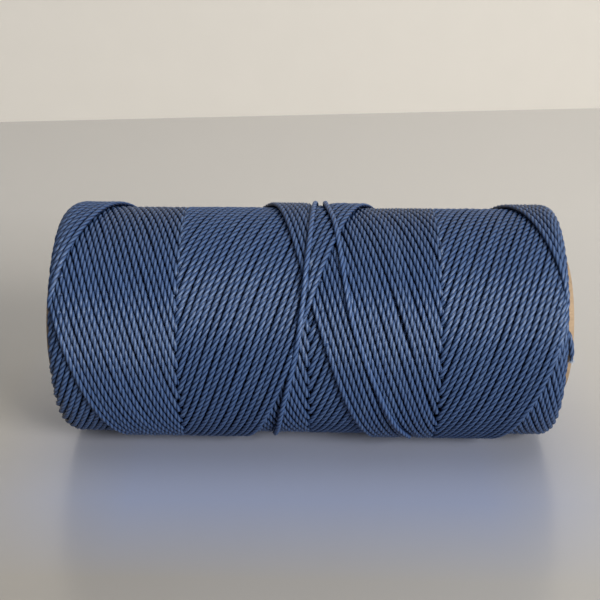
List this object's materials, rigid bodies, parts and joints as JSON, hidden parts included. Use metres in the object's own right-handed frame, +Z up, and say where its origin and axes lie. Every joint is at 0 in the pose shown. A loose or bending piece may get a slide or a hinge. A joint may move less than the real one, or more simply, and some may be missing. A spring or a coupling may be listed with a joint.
{
  "type": "spool of thread",
  "caption": "Waxed sewing cord cross-wound on a straight spiral-wound paper tube, lying on its side, with a through bore for a spindle.",
  "frame": {"origin": "on the supporting surface under the middle of the tube", "axes": "+X along the tube to the rim that the start of the cord lies on, -Y the front, +Z up"},
  "size_m": [0.1067, 0.0523, 0.0511],
  "materials": {
    "kraft_paper": "matt smooth brown paper",
    "grey_board": "matt recycled board",
    "waxed_cord": "waxed three-ply twist with a soft sheen"
  },
  "bodies": {
    "root": {"liner_ply": "kraft_paper", "inner_body_ply": "grey_board", "middle_body_ply": "grey_board", "outer_body_ply": "grey_board", "cover_ply": "kraft_paper", "cord_inner_layers": "waxed_cord", "cord_outer_layers": "waxed_cord", "cord_start": "waxed_cord", "cord_end": "waxed_cord"}
  },
  "joints": []
}
